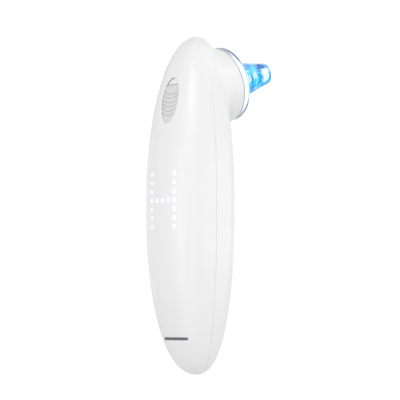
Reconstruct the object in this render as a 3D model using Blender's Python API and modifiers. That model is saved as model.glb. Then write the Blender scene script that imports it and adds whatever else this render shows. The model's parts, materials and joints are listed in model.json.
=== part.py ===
"""A handheld vacuum pore cleaner, built as the separate pieces it comes apart into.

The body stands along +Z with its middle at the origin. Its front, with the slider and the dot
display, faces -Y. The suction head leaves the back near the top and tilts a little upwards.
Blender's unit is the metre, so MM turns the millimetres of the design into it.
"""

import math

import bmesh
import bpy
from mathutils import Matrix, Vector

MM = 0.001
GAP = 0.3 * MM  # the clearance that neighbouring pieces keep

# The body: an egg-like form with rounded-square cross sections.
HALF_HEIGHT = 85.0 * MM
HALF_WIDTH = 20.2 * MM
FRONT_DEPTH = 21.4 * MM
REAR_DEPTH = 13.5 * MM
FRONT_SQUARENESS = 4.1
REAR_SQUARENESS = 3.9
UPPER_TAPER = 2.11
LOWER_TAPER = 2.26
BOW = 0.8 * MM  # how far both ends lean to the rear
WALL = 2.0 * MM
FRAME_INSET = 2.6 * MM
FRAME_THICKNESS = 1.4 * MM
BODY_CUTS = 9  # cuts across each side of the cube that the form is shaped from

# The seam between the covers runs forward of the middle, except at the two ends.
SEAM_FORWARD = 3.0 * MM
SEAM_EXPONENT = 2.44
SEAM_STEPS = 28

# The collar is a bowl on the tilted nozzle axis, which starts at the middle of its rim.
NOZZLE_TILT = math.radians(14.7)
RIM_Y = 15.2 * MM
RIM_Z = 61.2 * MM
RIM_RADIUS = 19.2 * MM
RIM_WALL = 2.3 * MM
BOWL_DEPTH = 12.0 * MM
BOWL_SQUARENESS = 2.6
BOWL_STEPS = 9
ROUND_STEPS = 30

# The clear suction head, along the nozzle axis from the rim.
FLANGE_RADIUS = 18.8 * MM
FLANGE_BASE = 1.2 * MM
HEAD_LENGTH = 31.4 * MM
TIP_RADIUS = 5.6 * MM
TIP_BORE = 4.25 * MM
SLEEVE_BORE = 7.75 * MM
SPIGOT_RADIUS = 7.3 * MM
SPIGOT_TOP = 7.5 * MM

# The slider in its oval window.
WINDOW_Z = 51.85 * MM
WINDOW_HALF_WIDTH = 6.45 * MM
WINDOW_HALF_HEIGHT = 11.55 * MM
KNOB_HALF_WIDTH = 8.0 * MM
KNOB_TOP = 60.3 * MM
KNOB_BOTTOM = 36.9 * MM
KNOB_INSET = 1.1 * MM
KNOB_THICKNESS = 0.9 * MM
TRACK_INSET = 2.3 * MM
TRACK_THICKNESS = 0.8 * MM
POCKET_INSET = 0.8 * MM
GROOVE_COUNT = 6
GROOVE_PITCH = 2.15 * MM
GROOVE_WIDTH = 0.5 * MM
GROOVE_DEPTH = 0.35 * MM
GROOVE_CENTRE_Z = 67.5 * MM
FIRST_GROOVE_RADIUS = 12.0 * MM
SLIDER_TILT = math.atan(0.22)  # the front's lean at the slider

# The display: five columns and seven rows of dots.
DOT_COLUMNS = 5
DOT_ROWS = 7
DOT_PITCH = 4.38 * MM
DOT_RADIUS = 1.65 * MM
DISPLAY_Z = 1.73 * MM

# The main circuit board, upright behind the display.
BOARD_FRONT = -9.5 * MM
BOARD_BACK = -8.5 * MM
BOARD_HALF_WIDTH = 9.5 * MM
BOARD_BOTTOM = -45.0 * MM
BOARD_TOP = 62.0 * MM
SCREW_X = 7.5 * MM
SCREW_LEVELS = (-41.0 * MM, 44.0 * MM)
SCREW_HOLE = 1.0 * MM

# The motor and the pump above it share an upright shaft.
MOTOR_Y = 0.3 * MM
MOTOR_RADIUS = 8.2 * MM
MOTOR_BOTTOM = -9.0 * MM
MOTOR_TOP = 15.0 * MM
SHAFT_RADIUS = 0.75 * MM
SHAFT_BORE = 1.05 * MM
CRANK_THROW = 0.6 * MM
CRANK_RADIUS = 2.4 * MM
PUMP_Z = 22.0 * MM
PUMP_SCREWS = ((-5.5 * MM, 18.4 * MM), (5.5 * MM, 25.6 * MM))

# The battery cell below the motor.
CELL_Y = 0.5 * MM
CELL_RADIUS = 7.0 * MM
CELL_TOP = -17.0 * MM
CELL_BOTTOM = -66.0 * MM

WHITE = (0.86, 0.86, 0.86)
GREY = (0.60, 0.61, 0.61)
CLEAR_BLUE = (0.35, 0.72, 0.98)


def clear_scene():
    for obj in list(bpy.data.objects):
        bpy.data.objects.remove(obj, do_unlink=True)


def new_collection(name):
    collection = bpy.data.collections.new(name)
    bpy.context.scene.collection.children.link(collection)
    return collection


clear_scene()
PARTS = new_collection("pore_cleaner")
CUTTERS = new_collection("cutters")


# Materials and objects


def material(name, colour, roughness=0.5, metallic=0.0):
    """A Principled material, made once for each name."""
    found = bpy.data.materials.get(name)
    if found:
        return found
    made = bpy.data.materials.new(name)
    made.use_nodes = True
    shader = made.node_tree.nodes["Principled BSDF"]
    shader.inputs["Base Color"].default_value = (*colour, 1.0)
    shader.inputs["Roughness"].default_value = roughness
    shader.inputs["Metallic"].default_value = metallic
    made.diffuse_color = (*colour, 1.0)
    return made


def place(obj, finish=None, parent=None):
    """Puts a piece among the parts, or an object with no finish among the cutters."""
    if finish:
        obj.data.materials.append(finish)
        PARTS.objects.link(obj)
    else:
        CUTTERS.objects.link(obj)
        obj.hide_render = True
        obj.display_type = "WIRE"
    obj.parent = parent
    return obj


def from_bmesh(name, bm, finish=None, parent=None):
    mesh = bpy.data.meshes.new(name)
    bm.to_mesh(mesh)
    bm.free()
    if finish:
        mesh.shade_smooth()
        mesh.set_sharp_from_angle(angle=math.radians(30))
    return place(bpy.data.objects.new(name, mesh), finish, parent)


def axis_empty(name, location, rotation=(0, 0, 0)):
    """An empty that marks the axis its children move or turn on."""
    empty = bpy.data.objects.new(name, None)
    empty.location = location
    empty.rotation_euler = rotation
    empty.empty_display_size = 10 * MM
    PARTS.objects.link(empty)
    return empty


def carried_by(obj, empty):
    """Parents a piece that is already in place, and leaves it there."""
    obj.parent = empty
    obj.matrix_parent_inverse = empty.matrix_basis.inverted()
    return obj


def boolean(obj, operation, other):
    modifier = obj.modifiers.new(other.name, "BOOLEAN")
    modifier.operation = operation
    modifier.object = other
    return obj


def cut(obj, *cutters):
    for cutter in cutters:
        boolean(obj, "DIFFERENCE", cutter)
    return obj


def join(obj, *others):
    for other in others:
        boolean(obj, "UNION", other)
    return obj


def bevelled(obj, width, segments=2):
    modifier = obj.modifiers.new("edges", "BEVEL")
    modifier.width = width
    modifier.segments = segments
    modifier.limit_method = "ANGLE"
    return obj


# Basic shapes. Each takes its place in millimetres, since the insides are drawn that way.


def box(name, low, high, finish=None, edge=0.0, parent=None):
    """A block between two corners in mm, with rounded edges where edge is given."""
    low = Vector(low) * MM
    high = Vector(high) * MM
    bm = bmesh.new()
    bmesh.ops.create_cube(bm, size=1.0)
    bmesh.ops.scale(bm, vec=high - low, verts=bm.verts)
    obj = from_bmesh(name, bm, finish, parent)
    obj.location = (low + high) / 2
    return bevelled(obj, edge * MM) if edge else obj


def rods(name, radius, ends, finish=None, segments=16, parent=None):
    """Round rods in mm, each between two ends, in one object. They must not touch."""
    bm = bmesh.new()
    for start, end in ends:
        start = Vector(start) * MM
        end = Vector(end) * MM
        along = end - start
        turn = Vector((0, 0, 1)).rotation_difference(along).to_matrix().to_4x4()
        bmesh.ops.create_cone(
            bm,
            cap_ends=True,
            segments=segments,
            radius1=radius * MM,
            radius2=radius * MM,
            depth=along.length,
            matrix=Matrix.Translation((start + end) / 2) @ turn,
        )
    return from_bmesh(name, bm, finish, parent)


def turned(name, profile, finish=None, parent=None, steps=ROUND_STEPS, closed=False):
    """Turns a profile of (radius, height) about Z. It runs down its outer side, top to bottom."""
    mesh = bpy.data.meshes.new(name)
    points = [(radius, 0, height) for radius, height in profile]
    edges = [(i, i + 1) for i in range(len(points) - 1)]
    if closed:
        edges.append((len(points) - 1, 0))
    mesh.from_pydata(points, edges, [])
    obj = place(bpy.data.objects.new(name, mesh), finish, parent)
    screw = obj.modifiers.new("turn", "SCREW")
    screw.steps = steps
    screw.render_steps = steps
    screw.use_merge_vertices = True
    screw.merge_threshold = 0.005 * MM
    screw.use_smooth_shade = False
    return obj


def in_mm(points):
    return [(radius * MM, height * MM) for radius, height in points]


def ring(name, inner, outer, bottom, top, finish=None, parent=None, steps=ROUND_STEPS):
    """A flat ring, in mm."""
    profile = in_mm([(outer, top), (outer, bottom), (inner, bottom), (inner, top)])
    return turned(name, profile, finish, parent, steps, closed=True)


def wire(name, points, radius, finish):
    """A round wire or tube along a smooth curve through points in mm."""
    curve = bpy.data.curves.new(name, "CURVE")
    curve.dimensions = "3D"
    curve.bevel_depth = radius * MM
    curve.bevel_resolution = 2
    curve.resolution_u = 3
    curve.use_fill_caps = True
    spline = curve.splines.new("BEZIER")
    spline.bezier_points.add(len(points) - 1)
    for knot, point in zip(spline.bezier_points, points):
        knot.co = Vector(point) * MM
        knot.handle_left_type = "AUTO"
        knot.handle_right_type = "AUTO"
    return place(bpy.data.objects.new(name, curve), finish)


# The body's form


def taper(height, half_height):
    """The size of the cross section at a height, from 1 at the middle to 0 at the ends."""
    power = UPPER_TAPER if height > 0 else LOWER_TAPER
    return max(1 - abs(height / half_height) ** power, 0) ** (1 / power)


def body_point(direction, inset):
    """The point of the body's surface, moved in by inset, that a unit sphere's point maps to."""
    half_height = HALF_HEIGHT - inset
    height = direction.z * half_height
    angle = math.atan2(direction.y, direction.x)
    front = direction.y < 0
    depth = (FRONT_DEPTH if front else REAR_DEPTH) - inset
    power = FRONT_SQUARENESS if front else REAR_SQUARENESS
    across = abs(math.cos(angle) / (HALF_WIDTH - inset)) ** power
    along = abs(math.sin(angle) / depth) ** power
    reach = taper(height, half_height) * (across + along) ** (-1 / power)
    lean = BOW * (height / HALF_HEIGHT) ** 2
    return Vector((reach * math.cos(angle), reach * math.sin(angle) + lean, height))


def body_solid(name, inset, finish=None):
    """The body's form, shaped from a cube so that no fan of faces meets at its ends."""
    bm = bmesh.new()
    bmesh.ops.create_cube(bm, size=2.0)
    bmesh.ops.subdivide_edges(bm, edges=bm.edges[:], cuts=BODY_CUTS, use_grid_fill=True)
    for vertex in bm.verts:
        even = Vector([math.tan(math.pi / 4 * share) for share in vertex.co])
        vertex.co = body_point(even.normalized(), inset)
    return from_bmesh(name, bm, finish)


def body_cutter(inset):
    """The body's form moved in by inset, made once for each inset."""
    name = f"form_in_{round(inset / MM, 2)}"
    return bpy.data.objects.get(name) or body_solid(name, inset)


def half_width_at(height, inset):
    return (HALF_WIDTH - inset) * taper(height, HALF_HEIGHT - inset)


def seam_y(height):
    share = min(abs(height) / HALF_HEIGHT, 1)
    return BOW * share**2 - SEAM_FORWARD * (1 - share**SEAM_EXPONENT)


def seam_block(name, offset, depth):
    """A block with one face along the seam, offset from it, and as deep along Y as given."""
    bm = bmesh.new()
    bmesh.ops.create_grid(bm, x_segments=1, y_segments=SEAM_STEPS, size=1.0)
    for vertex in bm.verts:
        height = vertex.co.y * (HALF_HEIGHT + 5 * MM)
        vertex.co = (vertex.co.x * 2 * HALF_WIDTH, seam_y(height) + offset, height)
    sheet = bmesh.ops.extrude_face_region(bm, geom=bm.faces[:])["geom"]
    raised = [element for element in sheet if isinstance(element, bmesh.types.BMVert)]
    bmesh.ops.translate(bm, vec=(0, depth, 0), verts=raised)
    bmesh.ops.recalc_face_normals(bm, faces=bm.faces)
    return from_bmesh(name, bm)


def front_plate(obj, inset, thickness):
    """Trims a block to a plate that follows the front's curve, inset from it."""
    boolean(obj, "INTERSECT", body_cutter(inset))
    return cut(obj, body_cutter(inset + thickness))


# The case


def oval(name, half_width, half_height):
    """An upright oval prism through the front, centred on the slider's window."""
    bm = bmesh.new()
    depth = 30 * MM
    turn = Matrix.Rotation(math.pi / 2, 4, "X")
    bmesh.ops.create_cone(
        bm, cap_ends=True, segments=48, radius1=1.0, radius2=1.0, depth=1.0, matrix=turn
    )
    bmesh.ops.scale(bm, vec=(half_width, depth, half_height), verts=bm.verts)
    obj = from_bmesh(name, bm)
    obj.location = (0, -depth / 2 - 5 * MM, WINDOW_Z)
    return obj


def make_front_cover(white):
    cover = body_solid("front_cover", 0, white)
    behind = seam_block("behind_front_cover", -GAP / 2, 60 * MM)
    window = oval("slider_window", WINDOW_HALF_WIDTH, WINDOW_HALF_HEIGHT)
    pocket = box("slider_pocket", (-8.5, -30, 36.4), (8.5, -5, 64.3))
    boolean(pocket, "INTERSECT", body_cutter(POCKET_INSET))
    return cut(cover, behind, body_cutter(WALL), pocket, window)


def bowl_profile(radius, depth, top):
    """A bowl's outline from its flat top at the axis, over the rim and down to the axis."""
    outline = [(0, top), (radius, top)]
    if top > 0:
        outline.append((radius, 0))
    for step in range(1, BOWL_STEPS + 1):
        share = math.sin(math.pi / 2 * step / BOWL_STEPS)
        width = max(1 - share**BOWL_SQUARENESS, 0) ** (1 / BOWL_SQUARENESS)
        outline.append((radius * width, -depth * share))
    return outline


def make_rear_cover(white, nozzle):
    cover = body_solid("rear_cover", 0, white)
    bowl = turned("collar_form", bowl_profile(RIM_RADIUS, BOWL_DEPTH, 0), parent=nozzle)
    hollow_profile = bowl_profile(RIM_RADIUS - RIM_WALL, BOWL_DEPTH - RIM_WALL, 3 * MM)
    hollow = turned("collar_hollow", hollow_profile, parent=nozzle)
    ahead = seam_block("ahead_of_rear_cover", GAP / 2, -60 * MM)
    port = box("charging_port", (-4.8, 1.8, -90), (4.8, 5.6, -74), edge=1.0)
    join(cover, bowl)
    cut(cover, ahead, body_cutter(WALL), hollow, port)
    for number in range(3):
        height = -40 - 3.2 * number
        vent = box(f"vent_{number + 1}", (-4, 5, height - 0.6), (4, 20, height + 0.6))
        cut(cover, vent)
    return cover


def frame_arm(side, level):
    """An arm from the frame's band to the post that a board screw goes into."""
    near = 5.3 * side
    far = half_width_at(level, FRAME_INSET + FRAME_THICKNESS / 2) / MM * side
    height = level / MM
    name = f"arm_{'left' if side < 0 else 'right'}_{'low' if level < 0 else 'high'}"
    low = (min(near, far), -8.2, height - 2.2)
    high = (max(near, far), -4.0, height + 2.2)
    return box(name, low, high)


def screw_places():
    return [(side * SCREW_X, level) for level in SCREW_LEVELS for side in (-1, 1)]


def screw_holes(name, y_low, y_high):
    ends = []
    for x, z in screw_places():
        ends.append(((x / MM, y_low, z / MM), (x / MM, y_high, z / MM)))
    return rods(name, SCREW_HOLE / MM, ends)


def make_inner_frame(finish):
    """The band just inside the seam, with four arms that carry the circuit board."""
    frame = body_solid("inner_frame", FRAME_INSET, finish)
    cut(frame, body_cutter(FRAME_INSET + FRAME_THICKNESS))
    boolean(frame, "INTERSECT", seam_block("frame_slab", -4.5 * MM, 7.0 * MM))
    cut(frame, box("frame_foot", (-20, -20, -90), (20, 20, -66)))
    for level in SCREW_LEVELS:
        for side in (-1, 1):
            join(frame, frame_arm(side, level))
    return cut(frame, screw_holes("frame_screw_holes", -9, -4.6))


# The slider and its switch


def groove_rings():
    """The concentric grooves of the thumb plate, only as deep as GROOVE_DEPTH."""
    mesh = bpy.data.meshes.new("knob_grooves")
    points = []
    edges = []
    for number in range(GROOVE_COUNT):
        middle = FIRST_GROOVE_RADIUS + number * GROOVE_PITCH
        inner = middle - GROOVE_WIDTH / 2
        outer = middle + GROOVE_WIDTH / 2
        first = len(points)
        points += [(outer, 0, 30 * MM), (outer, 0, 5 * MM), (inner, 0, 5 * MM), (inner, 0, 30 * MM)]
        edges += [(first + i, first + (i + 1) % 4) for i in range(4)]
    mesh.from_pydata(points, edges, [])
    rings = place(bpy.data.objects.new("knob_grooves", mesh))
    rings.location.z = GROOVE_CENTRE_Z
    rings.rotation_euler.x = math.pi / 2
    screw = rings.modifiers.new("turn", "SCREW")
    screw.steps = 40
    screw.render_steps = 40
    screw.use_merge_vertices = True
    screw.merge_threshold = 0.005 * MM
    return cut(rings, body_cutter(KNOB_INSET + GROOVE_DEPTH))


def make_slider(grey, white, black, metal):
    axis = axis_empty("slider_axis", (0, -15 * MM, WINDOW_Z), (-SLIDER_TILT, 0, 0))
    sides = KNOB_HALF_WIDTH / MM
    knob = box("slide_knob", (-sides, -30, KNOB_BOTTOM / MM), (sides, -8, KNOB_TOP / MM), grey)
    front_plate(knob, KNOB_INSET, KNOB_THICKNESS)
    cut(knob, groove_rings())
    join(knob, box("knob_stem", (-1.9, -15.6, 49.8), (1.9, -13.1, 54.2)))
    cut(knob, box("knob_fork", (-0.95, -14.7, 50.55), (0.95, -12, 53.25)))
    carried_by(knob, axis)

    track = box("slider_track", (-8.6, -30, 35.2), (8.6, -8, 65.2), white)
    front_plate(track, TRACK_INSET, TRACK_THICKNESS)
    cut(track, box("track_slot", (-2.2, -20, 49.5), (2.2, -8, 57.0)))

    switch = box("slide_switch", (-2.3, -12.3, 47.5), (2.3, -9.8, 58.5), metal, edge=0.3)
    cut(switch, box("switch_slot", (-0.9, -13, 50.4), (0.9, -10.4, 56.0)))

    lever_axis = axis_empty("switch_lever_axis", (0, -12.3 * MM, 51.9 * MM))
    lever = box("switch_lever", (-0.6, -13.9, 50.9), (0.6, -10.7, 52.9), black)
    carried_by(lever, lever_axis)


# The display and the circuit boards


def make_display(clear, black):
    half_wide = 11.3
    low = DISPLAY_Z / MM - 15.3
    high = DISPLAY_Z / MM + 15.3
    guide = box("light_guide", (-half_wide, -17.6, low), (half_wide, -15.3, high), clear)
    ends = []
    for column in range(DOT_COLUMNS):
        for row in range(DOT_ROWS):
            x = (column - (DOT_COLUMNS - 1) / 2) * DOT_PITCH / MM
            z = (DISPLAY_Z + (row - (DOT_ROWS - 1) / 2) * DOT_PITCH) / MM
            ends.append(((x, -18.5, z), (x, -14.5, z)))
    cut(guide, rods("dot_channels", DOT_RADIUS / MM, ends, segments=6))
    box("led_matrix", (-half_wide, -15.0, low), (half_wide, -9.8, high), black, edge=0.4)


def make_boards(green, black, metal, dark):
    low = (-BOARD_HALF_WIDTH / MM, BOARD_FRONT / MM, BOARD_BOTTOM / MM)
    high = (BOARD_HALF_WIDTH / MM, BOARD_BACK / MM, BOARD_TOP / MM)
    board = box("main_board", low, high, green)
    cut(board, screw_holes("board_holes", -12, -7))
    box("controller_chip", (-3.5, -8.2, -31), (3.5, -7.2, -24), black, edge=0.2)
    box("display_driver_chip", (-3.2, -10.7, 25), (3.2, -9.8, 32), black, edge=0.2)
    box("charger_inductor", (-2.6, -12.4, -32), (2.6, -9.8, -26.8), dark, edge=0.6)
    box("usb_board", (-4.9, 0.8, -79), (4.9, 1.8, -68), green)
    make_usb_socket(metal)
    profile = in_mm([(0, 1.1), (1.2, 1.1), (1.8, 0.6), (1.8, 0), (0.7, 0), (0.7, -4.8), (0, -5.2)])
    for number, (x, z) in enumerate(screw_places()):
        screw = turned(f"board_screw_{number + 1}", profile, metal, steps=16)
        screw.location = (x, BOARD_FRONT - GAP, z)
        screw.rotation_euler.x = math.pi / 2


def make_usb_socket(metal):
    socket = box("usb_socket", (-4.47, 2.1, -81), (4.47, 5.3, -73.7), metal, edge=1.2)
    cut(socket, box("usb_mouth", (-4.1, 2.45, -84), (4.1, 4.95, -75.4), edge=1.0))
    return join(socket, box("usb_tongue", (-3.3, 3.35, -80.2), (3.3, 4.05, -75)))


# Power, motor and pump


def make_battery(wrap, foam, red, black):
    top = CELL_TOP / MM
    bottom = CELL_BOTTOM / MM
    radius = CELL_RADIUS / MM
    profile = [(0, top + 1), (2.2, top + 1), (2.2, top), (radius - 0.4, top)]
    profile += [(radius, top - 0.4), (radius, bottom + 0.4), (radius - 0.4, bottom), (0, bottom)]
    cell = turned("battery", in_mm(profile), wrap, steps=24)
    cell.location.y = CELL_Y
    box("battery_pad", (-5, 7.8, -50), (5, 9.4, -22), foam)
    plus = [(0, 0.5, -15.7), (0, -0.6, -14.2), (0.8, -3.5, -13.4), (2, -6, -13.6), (2, -8.2, -14)]
    minus = [(0, 0.5, -66.6), (2.5, -2, -67), (6, -5, -66), (7.6, -6, -62), (7.6, -6, -52)]
    minus += [(6, -6.6, -47.4), (4, -7.1, -46.2), (3.5, -7.6, -43.6)]
    wire("battery_lead_positive", plus, 0.55, red)
    wire("battery_lead_negative", minus, 0.55, black)


def make_motor(metal, dark, white, foam):
    axis = axis_empty("motor_axis", (0, MOTOR_Y, 0))
    bottom = MOTOR_BOTTOM / MM
    top = MOTOR_TOP / MM
    wide = MOTOR_RADIUS / MM
    inside = wide - 0.5
    bore = SHAFT_BORE / MM
    can = [(bore, top + 0.7), (3, top + 0.7), (3, top), (wide, top), (wide, bottom)]
    can += [(inside, bottom), (inside, top - 0.6), (bore, top - 0.6)]
    turned("motor_can", in_mm(can), metal, axis, steps=24, closed=True)
    ring("motor_magnet", 6.0, 7.4, -7, 12, dark, axis, steps=24)
    cap = [(bore, -7.6), (7.4, -7.6), (7.4, -9.3), (wide, -9.3), (wide, -10.6), (bore, -10.6)]
    turned("motor_end_cap", in_mm(cap), white, axis, steps=24, closed=True)
    ring("rotor_core", bore, 5.6, -6, 11, dark, axis, steps=24)
    shaft = [(0, 23.2), (SHAFT_RADIUS / MM, 23.2), (SHAFT_RADIUS / MM, -11.4), (0, -11.4)]
    turned("motor_shaft", in_mm(shaft), metal, axis, steps=16)
    crank = ring("eccentric", 0.01, CRANK_RADIUS / MM, 20.6, 23.4, white, axis, steps=24)
    crank.location.y = CRANK_THROW
    cut(crank, rods("crank_bore", bore, [((0, 0.3, 19), (0, 0.3, 25))]))
    box("motor_pad", (-5, 8.8, -6), (5, 10.6, 12), foam)


def pump_screw_holes(name, radius, y_low, y_high):
    ends = []
    for x, z in PUMP_SCREWS:
        ends.append(((x / MM, y_low, z / MM), (x / MM, y_high, z / MM)))
    return rods(name, radius, ends)


def make_pump_rod(white):
    axis = axis_empty("pump_rod_axis", (0, MOTOR_Y, PUMP_Z))
    rod = ring("pump_rod", 3.8, 5.0, -1, 1, white, axis, steps=24)
    arm = box("rod_arm", (-1.2, 4.7, 21), (1.2, 5.6, 23))
    piston = rods("rod_piston", 2.6, [((0, 5.0, 22), (0, 6.4, 22))], segments=24)
    return join(rod, arm, piston)


def make_pump(white, black, rubber, metal):
    body = box("pump_body", (-8, -7.6, 16), (8, 5.6, 28), black, edge=0.5)
    chamber = box("pump_chamber", (-5.6, -5.6, 20.2), (5.6, 7, 24))
    shaft_hole = rods("pump_shaft_hole", 1.4, [((0, 0.3, 15), (0, 0.3, 21))])
    mouth = rods("pump_mouth", 3.2, [((0, 4.0, 22), (0, 7, 22))], segments=24)
    cut(body, chamber, mouth, shaft_hole, pump_screw_holes("pump_body_holes", 0.9, -1, 7))
    make_pump_rod(white)

    membrane = ring("diaphragm", 2.9, 5.4, -0.3, 0.3, rubber, steps=24)
    membrane.location = (0, 6.2 * MM, PUMP_Z)
    membrane.rotation_euler.x = math.pi / 2
    plate = box("valve_plate", (-7.6, 7.3, 16.5), (7.6, 8.1, 27.5), white)
    ports = rods("valve_ports", 0.7, [((x, 7, 22), (x, 9, 22)) for x in (-3, 3)], segments=12)
    cut(plate, ports, pump_screw_holes("valve_plate_holes", 0.9, 6.5, 9))

    head = box("pump_head", (-7.6, 8.4, 16.5), (7.6, 10.4, 27.5), black)
    nipples = rods("pump_nipples", 1.3, [((x, 9.4, 26.9), (x, 9.4, 31.5)) for x in (-3, 3)])
    bores = rods("nipple_bores", 0.6, [((x, 9.4, 23), (x, 9.4, 33)) for x in (-3, 3)], segments=12)
    join(head, nipples)
    cut(head, bores, pump_screw_holes("pump_head_holes", 0.9, 8, 11))
    cut(head, pump_screw_holes("pump_head_counterbores", 1.5, 9.2, 11))
    profile = in_mm([(0, 0.8), (1.2, 0.8), (1.2, 0), (0.6, 0), (0.6, -9), (0, -9)])
    for number, (x, z) in enumerate(PUMP_SCREWS):
        screw = turned(f"pump_screw_{number + 1}", profile, metal, steps=12)
        screw.location = (x, 9.5 * MM, z)
        screw.rotation_euler.x = -math.pi / 2

    tube = [(-3, 9.4, 31.9), (-2.8, 8.2, 36), (-2.2, 4.6, 42), (-1.2, 0.8, 48), (-0.4, -0.6, 53)]
    tube += [(0, 0.6, 56.6), (0, 3.2, 58.1), (0, 6.0, 58.8)]
    wire("air_tube", tube, 1.3, rubber)


# The collar and the suction head. Heights are along the nozzle axis, from the collar's rim.


def make_nozzle_seat(white, rubber, green, lamp, clear, grey, nozzle):
    spigot = SPIGOT_RADIUS / MM
    top = SPIGOT_TOP / MM
    seat = [(5.5, top), (spigot, top), (spigot, 4.9), (6.6, 4.9), (6.6, 3.5), (spigot, 3.5)]
    seat += [(spigot, -3.4), (15.4, -3.4), (15.4, -5.0), (2.4, -5.0), (2.4, -8.6)]
    seat += [(1.2, -8.6), (1.2, -4.4), (5.5, -3.6)]
    turned("nozzle_seat", in_mm(seat), white, nozzle, closed=True)

    section = []
    for step in range(6):
        angle = -2 * math.pi * step / 6
        section.append((7.12 + 0.42 * math.cos(angle), 4.2 + 0.42 * math.sin(angle)))
    turned("seat_o_ring", in_mm(section), rubber, nozzle, steps=24, closed=True)

    ring("led_ring_board", 8.0, 14.8, -3.1, -2.3, green, nozzle, steps=24)
    for number in range(4):
        angle = math.radians(45 + 90 * number)
        x = 11.4 * math.cos(angle)
        y = 11.4 * math.sin(angle)
        low = (x - 0.9, y - 0.9, -2.0)
        high = (x + 0.9, y + 0.9, -1.2)
        box(f"blue_led_{number + 1}", low, high, lamp, parent=nozzle)
    ring("light_ring", 7.9, 16.3, -0.9, 0.3, clear, nozzle)
    ring("collar_seal", 17.0, 18.9, 0.3, 0.9, grey, nozzle)
    lead = [(8, 9.6, 59.6), (8, 6, 58.8), (7.6, 0, 59.4), (7.2, -5, 58.8), (7, -8.2, 58)]
    wire("led_lead", lead, 0.55, rubber)


def make_suction_head(clear, foam, nozzle):
    """The clear head: a wide flange cup, a sleeve that fits the spigot, and the open nozzle."""
    length = HEAD_LENGTH / MM
    tip = TIP_RADIUS / MM
    bore = TIP_BORE / MM
    sleeve = SLEEVE_BORE / MM
    flange = FLANGE_RADIUS / MM
    base = FLANGE_BASE / MM
    outside = [(bore, length), (tip - 0.5, length), (tip, length - 0.5), (10.0, 10.2)]
    outside += [(10.5, 9.3), (12.4, 7.7), (15.4, 5.7), (17.7, 4.7), (18.5, 4.2)]
    outside += [(flange, 3.6), (flange, base), (flange - 1.3, base)]
    underside = [(flange - 1.3, 3.1), (15.0, 4.2), (11.8, 6.2), (9.6, 7.9), (9.0, 7.4)]
    underside += [(9.0, 1.8), (sleeve, 1.8), (sleeve, 10.2)]
    channel = [(6.6, 10.2), (6.0, 17.0), (5.2, 17.0), (4.9, 23.5), (bore, 23.5)]
    profile = in_mm(outside + underside + channel)
    turned("suction_head", profile, clear, nozzle, closed=True)
    sponge = [(0, 9.8), (7.2, 9.8), (7.2, 7.9), (0, 7.9)]
    turned("filter_sponge", in_mm(sponge), foam, nozzle, steps=24)


def build():
    white = material("white_plastic", WHITE, 0.42)
    grey = material("grey_plastic", GREY, 0.5)
    clear = material("clear_plastic", CLEAR_BLUE, 0.1)
    frosted = material("frosted_plastic", (0.9, 0.95, 1.0), 0.6)
    black = material("black_plastic", (0.03, 0.03, 0.03), 0.5)
    rubber = material("rubber", (0.12, 0.12, 0.12), 0.7)
    seal = material("seal_rubber", (0.55, 0.56, 0.58), 0.7)
    foam = material("foam", (0.25, 0.25, 0.27), 0.95)
    steel = material("steel", (0.7, 0.7, 0.72), 0.3, 1.0)
    iron = material("iron", (0.25, 0.25, 0.27), 0.5, 0.8)
    green = material("circuit_board", (0.05, 0.30, 0.14), 0.5)
    wrap = material("cell_wrap", (0.10, 0.30, 0.62), 0.35)
    red = material("red_wire", (0.70, 0.05, 0.04), 0.5)
    lamp = material("lamp", (0.55, 0.75, 1.0), 0.3)

    rim = (0, RIM_Y, RIM_Z)
    nozzle = axis_empty("nozzle_axis", rim, (NOZZLE_TILT - math.pi / 2, 0, 0))
    make_front_cover(white)
    make_rear_cover(white, nozzle)
    make_inner_frame(white)
    make_slider(grey, white, black, steel)
    make_display(frosted, black)
    make_boards(green, black, steel, iron)
    make_battery(wrap, foam, red, black)
    make_motor(steel, iron, white, foam)
    make_pump(white, black, rubber, steel)
    make_nozzle_seat(white, rubber, green, lamp, frosted, seal, nozzle)
    make_suction_head(clear, foam, nozzle)


build()
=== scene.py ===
"""The looks of a handheld vacuum pore cleaner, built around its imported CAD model.

The case stands along +Z with its middle at the origin, and its front, with the slider and the dot
display, faces -Y. The suction head leaves the back on the nozzle axis, which starts at the middle
of the collar's rim and tilts a little upwards. Sizes are in metres, written as millimetres * MM.
"""

import json
import math

import bmesh
import bpy
import numpy as np
from mathutils import Matrix, Vector


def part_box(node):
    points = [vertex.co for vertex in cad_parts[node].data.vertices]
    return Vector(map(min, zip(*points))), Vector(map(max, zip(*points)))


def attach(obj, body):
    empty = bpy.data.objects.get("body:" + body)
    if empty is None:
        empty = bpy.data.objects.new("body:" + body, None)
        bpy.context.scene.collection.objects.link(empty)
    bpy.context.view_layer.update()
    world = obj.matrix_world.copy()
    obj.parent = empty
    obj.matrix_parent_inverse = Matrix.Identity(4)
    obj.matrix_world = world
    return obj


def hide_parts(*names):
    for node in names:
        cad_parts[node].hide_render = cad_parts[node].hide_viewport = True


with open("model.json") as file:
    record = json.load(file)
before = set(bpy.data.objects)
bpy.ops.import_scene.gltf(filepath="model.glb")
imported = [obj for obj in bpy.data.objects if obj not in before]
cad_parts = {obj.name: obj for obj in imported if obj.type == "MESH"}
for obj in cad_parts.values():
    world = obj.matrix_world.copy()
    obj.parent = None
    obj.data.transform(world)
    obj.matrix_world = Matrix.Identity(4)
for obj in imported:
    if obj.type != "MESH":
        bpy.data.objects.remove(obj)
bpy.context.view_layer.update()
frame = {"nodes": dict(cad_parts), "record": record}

MM = 0.001
GAP = 0.08 * MM  # between the two covers, where the CAD solids keep 0.3 mm

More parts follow.
